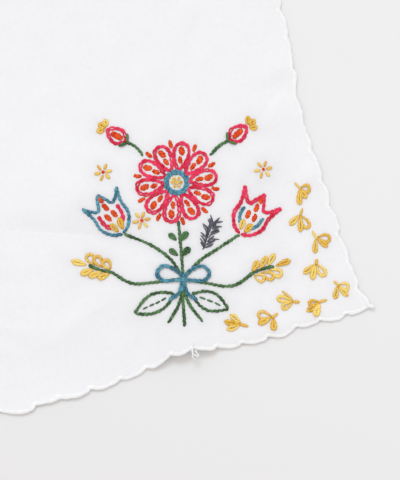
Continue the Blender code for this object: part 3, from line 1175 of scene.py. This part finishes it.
def sew_bud(threads, base):
    """A closed bud: a plump grain in a pink loop, with a green cup and yellow leaves at its tip."""
    threads["orange"].satin(base, *BUD_GRAIN)
    threads["pink"].chain_line(base.line(*BUD_OUTLINE))
    for turn in (BUD_CUP_TURN, -BUD_CUP_TURN):
        start, stop = base.move(BUD_CUP_START), base.move(BUD_CUP_SPREAD, 0, turn).move(BUD_CUP_LENGTH)
        threads["green"].straight(start.flat(), stop.flat(), over=LEAF_TIE)
    for turn in BUD_TIP_TURNS:
        threads["yellow"].leaf(base.move(BUD_TIP, 0, turn).move(BUD_TIP_INSET), BUD_TIP_LEAF)


def sew_star(threads, centre):
    """A small yellow star flower with an orange knot."""
    for turn in STAR_TURNS:
        threads["yellow"].leaf(centre.move(0, 0, turn).move(STAR_START), STAR_LEAF, "single")
    threads["orange"].knot(centre)


def sew_stalk_leaves(thread, stalk):
    """Pairs of looped leaves up a stalk."""
    for forward, turn in STALK_LEAVES:
        thread.leaf(stalk.move(forward, math.copysign(STALK_LEAF_ASIDE, turn), turn), STALK_LEAF)


def sew_bow(thread, centre):
    """A ribbon bow with two loops and two tails."""
    for places, pattern in ((BOW_LOOPS, BOW_LOOP), (BOW_TAILS, BOW_TAIL)):
        for turn, side in places:
            thread.chain_line(centre.move(0, 0, turn).line(*mirrored(pattern, side)), BOW_LIFT)


def sew_nosegay(threads):
    """A tied bunch: a round flower between two tulips, with buds, ears, leaves and a bow."""
    middle = Spot(NOSEGAY_RIGHT, NOSEGAY_UP)
    for rows in NOSEGAY_STEMS:
        threads["green"].stem_line(middle.line(*rows))
    sew_stalk_leaves(threads["green"], middle.move(*NOSEGAY_STALK))
    sew_round_flower(threads, middle.move(*NOSEGAY_ROUND_FLOWER))
    ways = (threads["teal"].stem_line, threads["pink"].chain_line)
    for spot, (rim, lining) in zip(NOSEGAY_TULIPS, (ways, ways[::-1])):
        sew_tulip(threads, middle.move(*spot), rim, lining)
    for spot in NOSEGAY_EARS:
        sew_wheat_ear(threads, middle.move(*spot))
    for spot, length in NOSEGAY_LEAVES:
        sew_leaf(threads["green"], middle.move(*spot), length)
    for spot in NOSEGAY_BUDS:
        sew_bud(threads, middle.move(*spot))
    sew_fern(threads["grey"], middle.move(*NOSEGAY_FERN))
    for spot in NOSEGAY_STARS:
        sew_star(threads, middle.move(*spot))
    sew_bow(threads["teal"], middle.move(*NOSEGAY_BOW))


def add_node(tree, kind, values=(), **settings):
    """A node with its settings, and its inputs in order linked to sockets or set to values."""
    node = tree.nodes.new(kind)
    for name, value in settings.items():
        setattr(node, name, value)
    for socket, value in zip(node.inputs, values):
        if isinstance(value, bpy.types.NodeSocket):
            tree.links.new(value, socket)
        elif value is not None:
            socket.default_value = value
    return node


def maths(tree, operation, *values):
    return add_node(tree, "ShaderNodeMath", values, operation=operation).outputs[0]


def vector_maths(tree, operation, *values):
    return add_node(tree, "ShaderNodeVectorMath", values, operation=operation).outputs


def mix_colours(tree, share, first, second):
    values = (share, None, None, None, None, None, first, second)
    return add_node(tree, "ShaderNodeMix", values, data_type="RGBA").outputs[2]


def new_group(name, inputs, outputs):
    """A shader node group with named sockets."""
    group = bpy.data.node_groups.new(name, "ShaderNodeTree")
    for label, kind in inputs.items():
        group.interface.new_socket(label, in_out="INPUT", socket_type=kind)
    for label, kind in outputs.items():
        group.interface.new_socket(label, in_out="OUTPUT", socket_type=kind)
    return group, group.nodes.new("NodeGroupInput").outputs, group.nodes.new("NodeGroupOutput").inputs


def plain_weave_group():
    """Yarns over and under each other, with thicker and thinner places along them."""
    group, given, out = new_group(
        "plain_weave",
        {"Flat Place": VECTOR, "Yarns": NUMBER, "Slub Across": NUMBER, "Slub Along": NUMBER},
        {"Height": NUMBER, "Slub": NUMBER},
    )
    scaled = add_node(group, "ShaderNodeVectorMath", (given["Flat Place"],), operation="SCALE")
    group.links.new(maths(group, "MULTIPLY", given["Yarns"], math.pi), scaled.inputs["Scale"])
    parts = add_node(group, "ShaderNodeSeparateXYZ", (scaled.outputs[0],)).outputs
    crossing = maths(group, "MULTIPLY", *(maths(group, "SINE", part) for part in parts[:2]))
    streaks = []
    slubs = [given["Slub Across"], given["Slub Along"]]
    for stretch in (slubs, slubs[::-1]):
        size = add_node(group, "ShaderNodeCombineXYZ", stretch).outputs[0]
        stretched = vector_maths(group, "MULTIPLY", given["Flat Place"], size)[0]
        streaks.append(add_node(group, "ShaderNodeTexNoise", (stretched, None, *SLUB_NOISE)).outputs[0])
    slub = maths(group, "MULTIPLY", maths(group, "ADD", *streaks), 0.5)
    group.links.new(slub, out["Slub"])
    woven = maths(group, "MULTIPLY_ADD", crossing, YARN_RELIEF, 0.5)
    group.links.new(maths(group, "ADD", woven, slub), out["Height"])
    return group


def twisted_strands_group():
    """Fine slanting fibres round a thread, its tone from stitch to stitch, painted shade and highlight."""
    group, given, out = new_group(
        "twisted_strands",
        {"Thread Place": VECTOR, "Tone": NUMBER, "Strands": NUMBER, "Twist": NUMBER},
        {"Height": NUMBER, "Lit": NUMBER},
    )
    parts = add_node(group, "ShaderNodeSeparateXYZ", (given["Thread Place"],)).outputs
    round_thread = maths(group, "MULTIPLY", maths(group, "MULTIPLY", parts[0], given["Strands"]), math.tau)
    slanted = maths(group, "ADD", round_thread, maths(group, "MULTIPLY", parts[1], given["Twist"]))
    ridge = maths(group, "MULTIPLY_ADD", maths(group, "SINE", slanted), 0.5, 0.5)
    fuzz = add_node(group, "ShaderNodeTexNoise", (given["Thread Place"], None, *FUZZ_NOISE)).outputs[0]
    height = maths(group, "MULTIPLY_ADD", fuzz, FUZZ_RISE, maths(group, "MULTIPLY", ridge, RIDGE_RISE))
    group.links.new(height, out["Height"])
    # Lit: the tone with its painted shade, and painted highlight on the fibre ridges and fuzz
    lit = maths(group, "MULTIPLY_ADD", given["Tone"], *TONE_SPREAD)
    lit = maths(group, "MULTIPLY_ADD", ridge, RIDGE_LIT, lit)
    group.links.new(maths(group, "MULTIPLY_ADD", fuzz, FUZZ_LIT, lit), out["Lit"])
    return group


def soft_mottle_group():
    """Broad, faint patches."""
    group, given, out = new_group("soft_mottle", {"Place": VECTOR, "Scale": NUMBER}, {"Patch": NUMBER})
    patches = add_node(group, "ShaderNodeTexNoise", (given["Place"], None, given["Scale"], *MOTTLE_NOISE))
    group.links.new(patches.outputs[0], out["Patch"])
    return group


def pressed_lip_group():
    """One crisp line pressed into cloth, in metres of height."""
    group, given, out = new_group(
        "pressed_lip",
        {"Flat Place": VECTOR, "Middle": VECTOR, "Angle": NUMBER, "Half Length": NUMBER, "Near": NUMBER,
         "Far": NUMBER, "Rise": NUMBER},
        {"Height": NUMBER},
    )
    turned = add_node(group, "ShaderNodeVectorRotate", rotation_type="Z_AXIS")
    group.links.new(given["Flat Place"], turned.inputs["Vector"])
    group.links.new(given["Middle"], turned.inputs["Center"])
    group.links.new(maths(group, "MULTIPLY", given["Angle"], -1.0), turned.inputs["Angle"])
    offset = vector_maths(group, "SUBTRACT", turned.outputs[0], given["Middle"])[0]
    down_the_line, over_the_line, _ = add_node(group, "ShaderNodeSeparateXYZ", (offset,)).outputs
    reach = maths(group, "DIVIDE", down_the_line, given["Half Length"])
    fallen = maths(group, "SUBTRACT", 1.0, maths(group, "MULTIPLY", reach, reach))
    middle = maths(group, "MAXIMUM", fallen, 0.0)
    far_side = maths(group, "SUBTRACT", 1.0, maths(group, "DIVIDE", over_the_line, given["Far"]))
    near_side = maths(group, "ADD", 1.0, maths(group, "DIVIDE", over_the_line, given["Near"]))
    side = maths(group, "MAXIMUM", maths(group, "MINIMUM", far_side, near_side), 0.0)
    shape = maths(group, "MULTIPLY", middle, side)
    group.links.new(maths(group, "MULTIPLY", shape, given["Rise"]), out["Height"])
    return group


def new_material(name, roughness):
    material = bpy.data.materials.new(name)
    material.use_nodes = True
    shader = material.node_tree.nodes["Principled BSDF"]
    shader.inputs["Roughness"].default_value = roughness
    return material, material.node_tree, shader


def bumped(tree, shader, height, distance):
    bump_node = add_node(tree, "ShaderNodeBump", (1.0, distance))
    tree.links.new(height, bump_node.inputs["Height"])
    tree.links.new(bump_node.outputs[0], shader.inputs["Normal"])


def place_group(tree, group, **values):
    """A group placed in a material, its sockets set or linked by name."""
    node = tree.nodes.new("ShaderNodeGroup")
    node.node_tree = group
    for label, value in values.items():
        socket = node.inputs[label.replace("_", " ").title()]
        if isinstance(value, bpy.types.NodeSocket):
            tree.links.new(value, socket)
        else:
            socket.default_value = value
    return node.outputs


def cotton_material(weave, mottle, pressed_lip):
    """Fine white voile."""
    material, tree, shader = new_material("white_cotton", COTTON_ROUGHNESS)
    flat_place = add_node(tree, "ShaderNodeUVMap", uv_map=CLOTH_MAP).outputs[0]
    woven = place_group(
        tree, weave, flat_place=flat_place, yarns=YARNS, slub_across=SLUB_ACROSS, slub_along=SLUB_ALONG)
    broad = place_group(tree, mottle, place=flat_place, scale=BROAD_PATCHES)["Patch"]
    small = place_group(tree, mottle, place=flat_place, scale=SMALL_PATCHES)["Patch"]
    share = maths(tree, "MULTIPLY", broad, BROAD_SHARE)
    share = maths(tree, "MULTIPLY_ADD", small, SMALL_SHARE, share)
    share = maths(tree, "MULTIPLY_ADD", woven["Slub"], SLUB_SHARE, share)
    # Painted shade round the stitches, broken into small patches
    stitch_shade = add_node(tree, "ShaderNodeAttribute", attribute_name=STITCH_SHADE).outputs["Fac"]
    drawn = maths(tree, "MULTIPLY", small, PAINTED_SHADE_SHARE)
    share = maths(tree, "MULTIPLY_ADD", stitch_shade, drawn, share)
    tree.links.new(mix_colours(tree, share, *COTTON_COLOURS), shader.inputs["Base Color"])
    height = maths(tree, "MULTIPLY", woven["Height"], WEAVE_HEIGHT)
    for lip in LIPS:
        pressed = place_group(
            tree, pressed_lip, flat_place=flat_place, middle=(lip.across, lip.along, 0.0),
            angle=math.radians(lip.angle), half_length=lip.half_length, near=lip.near, far=lip.far,
            rise=lip.height)
        height = maths(tree, "ADD", height, pressed["Height"])
    bumped(tree, shader, height, 1.0)
    return material


def floss_material(name, dye, strands):
    """Shiny six-strand cotton thread."""
    material, tree, shader = new_material(name, FLOSS_ROUGHNESS)
    thread_place = add_node(tree, "ShaderNodeUVMap", uv_map=THREAD_MAP).outputs[0]
    tone = add_node(tree, "ShaderNodeAttribute", attribute_name=TONE).outputs["Fac"]
    fibres = place_group(
        tree, strands, thread_place=thread_place, tone=tone, strands=FLOSS_STRANDS, twist=FLOSS_TWIST)
    # From the dye's colour in painted shade to its lit colour
    colour = mix_colours(tree, fibres["Lit"], (*dye.dark, 1), (*dye.light, 1))
    tree.links.new(colour, shader.inputs["Base Color"])
    shader.inputs["Sheen Weight"].default_value = FLOSS_SHEEN
    shader.inputs["Specular IOR Level"].default_value = FLOSS_SHINE
    bumped(tree, shader, fibres["Height"], FLOSS_FIBRE_HEIGHT)
    return material


def edge_thread_material(strands, mottle):
    """Bright white overcasting thread."""
    material, tree, shader = new_material("edge_thread", EDGE_ROUGHNESS)
    thread_place = add_node(tree, "ShaderNodeUVMap", uv_map=THREAD_MAP).outputs[0]
    object_place = add_node(tree, "ShaderNodeTexCoord").outputs["Object"]
    patch = place_group(tree, mottle, place=object_place, scale=EDGE_PATCHES)["Patch"]
    fibres = place_group(
        tree, strands, thread_place=thread_place, tone=patch, strands=EDGE_STRANDS, twist=EDGE_TWIST)
    # Painted highlight on the fibre ridges and fuzz lightens the edge thread
    tree.links.new(mix_colours(tree, fibres["Lit"], *EDGE_COLOURS), shader.inputs["Base Color"])
    bumped(tree, shader, fibres["Height"], EDGE_FIBRE_HEIGHT)
    return material


def floor_material(mottle):
    """Pale smooth board."""
    material, tree, shader = new_material("pale_board", FLOOR_ROUGHNESS)
    object_place = add_node(tree, "ShaderNodeTexCoord").outputs["Object"]
    patch = place_group(tree, mottle, place=object_place, scale=FLOOR_PATCHES)["Patch"]
    # Painted shade: the board darkens towards the lower left of the picture, where the light falls off
    reach = vector_maths(tree, "DOT_PRODUCT", object_place, FLOOR_SHADE_DIRECTION)["Value"]
    painted_falloff = add_node(tree, "ShaderNodeMapRange", (reach, *FLOOR_PAINTED_SHADE), interpolation_type="SMOOTHSTEP")
    share = maths(tree, "MULTIPLY", painted_falloff.outputs[0], 1 - FLOOR_PATCH_SHARE)
    share = maths(tree, "MULTIPLY_ADD", patch, FLOOR_PATCH_SHARE, share)
    tree.links.new(mix_colours(tree, share, *FLOOR_COLOURS), shader.inputs["Base Color"])
    return material


def picture_directions():
    """The directions on the floor that are right and up in the picture."""
    right = Vector((math.cos(PICTURE_LEAN), -math.sin(PICTURE_LEAN), 0.0))
    up = Vector((math.sin(PICTURE_LEAN), math.cos(PICTURE_LEAN), 0.0))
    return right, up


def make_camera():
    right, up = picture_directions()
    corner = Vector((*place(0.0, 0.0), 0.0))
    from_corner_right = (PICTURE_SIZE[0] / 2 - CORNER_PIXEL[0]) * METRES_PER_PIXEL
    from_corner_up = (CORNER_PIXEL[1] - PICTURE_SIZE[1] / 2) * METRES_PER_PIXEL
    target = corner + right * from_corner_right + up * from_corner_up
    back = Vector((0, 0, 1)) * math.sin(CAMERA_ELEVATION) - up * math.cos(CAMERA_ELEVATION)
    data = bpy.data.cameras.new("camera")
    data.sensor_fit = "VERTICAL"
    data.sensor_height = SENSOR_HEIGHT
    data.lens = SENSOR_HEIGHT * CAMERA_DISTANCE / (PICTURE_SIZE[1] * METRES_PER_PIXEL)
    camera = bpy.data.objects.new("camera", data)
    camera.location = target + back * CAMERA_DISTANCE
    camera.rotation_euler = (-back).to_track_quat("-Z", "Y").to_euler()
    bpy.context.scene.collection.objects.link(camera)
    bpy.context.scene.camera = camera


def make_light():
    """A wide soft light from the upper left of the picture, and an even pale sky."""
    right, up = picture_directions()
    level = up * math.cos(SUN_TURN) - right * math.sin(SUN_TURN)
    towards = level * math.cos(SUN_ELEVATION) + Vector((0, 0, 1)) * math.sin(SUN_ELEVATION)
    data = bpy.data.lights.new("soft_light", "SUN")
    data.energy = SUN_STRENGTH
    data.color = SUN_COLOUR
    data.angle = SUN_ANGLE
    light = bpy.data.objects.new("soft_light", data)
    light.rotation_euler = (-towards).to_track_quat("-Z", "Y").to_euler()
    bpy.context.scene.collection.objects.link(light)
    world = bpy.data.worlds.new("pale_sky")
    world.use_nodes = True
    world.node_tree.nodes["Background"].inputs["Strength"].default_value = SKY_STRENGTH
    world.node_tree.nodes["Background"].inputs["Color"].default_value = SKY_COLOUR
    bpy.context.scene.world = world
    bpy.context.scene.view_settings.view_transform = "Standard"


def make_floor(material):
    mesh = bmesh.new()
    bmesh.ops.create_grid(mesh, x_segments=1, y_segments=1, size=FLOOR_SIZE / 2)
    for vert in mesh.verts:
        vert.co.z = -FLOOR_DEPTH
    floor = finished_object("pale_floor", mesh, material)


def make_embroidery(strands):
    """Every stitch of the corner, one piece for each colour of thread, and points along them all."""
    threads = {colour: Needlework(seed) for seed, colour in enumerate(DYES, start=1)}
    sew_nosegay(threads)
    sew_sprigs(threads["yellow"])
    stitched = [point for thread in threads.values() for point in thread.stitched]
    pieces = []
    for colour, dye in DYES.items():
        material = floss_material(f"{colour}_floss", dye, strands)
        piece = finished_object(dye.piece, threads[colour].mesh, material)
        pieces.append(piece)
    return pieces, stitched


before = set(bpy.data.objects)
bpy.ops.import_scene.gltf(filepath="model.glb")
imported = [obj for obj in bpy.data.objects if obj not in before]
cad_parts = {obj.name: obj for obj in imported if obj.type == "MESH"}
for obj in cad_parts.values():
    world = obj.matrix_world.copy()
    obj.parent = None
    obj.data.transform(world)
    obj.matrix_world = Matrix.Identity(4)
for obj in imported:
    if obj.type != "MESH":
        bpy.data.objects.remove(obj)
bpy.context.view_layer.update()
weave, strands, mottle = plain_weave_group(), twisted_strands_group(), soft_mottle_group()
make_camera()
make_light()
make_floor(floor_material(mottle))

embroidery, stitched = make_embroidery(strands)
cloth = make_cloth(cotton_material(weave, mottle, pressed_lip_group()), stitched)
edge_thread = make_edge_thread(edge_thread_material(strands, mottle))
white = Needlework(seed=20)
sew_corner_stubs(white)
sew_loose_thread(white)
stubs = finished_object("corner_and_loose_thread", white.mesh, edge_thread.data.materials[0])
sewn = [edge_thread, stubs, *embroidery]
for piece in (cloth, *sewn):
    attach(piece, "root")
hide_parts("stole_cloth")
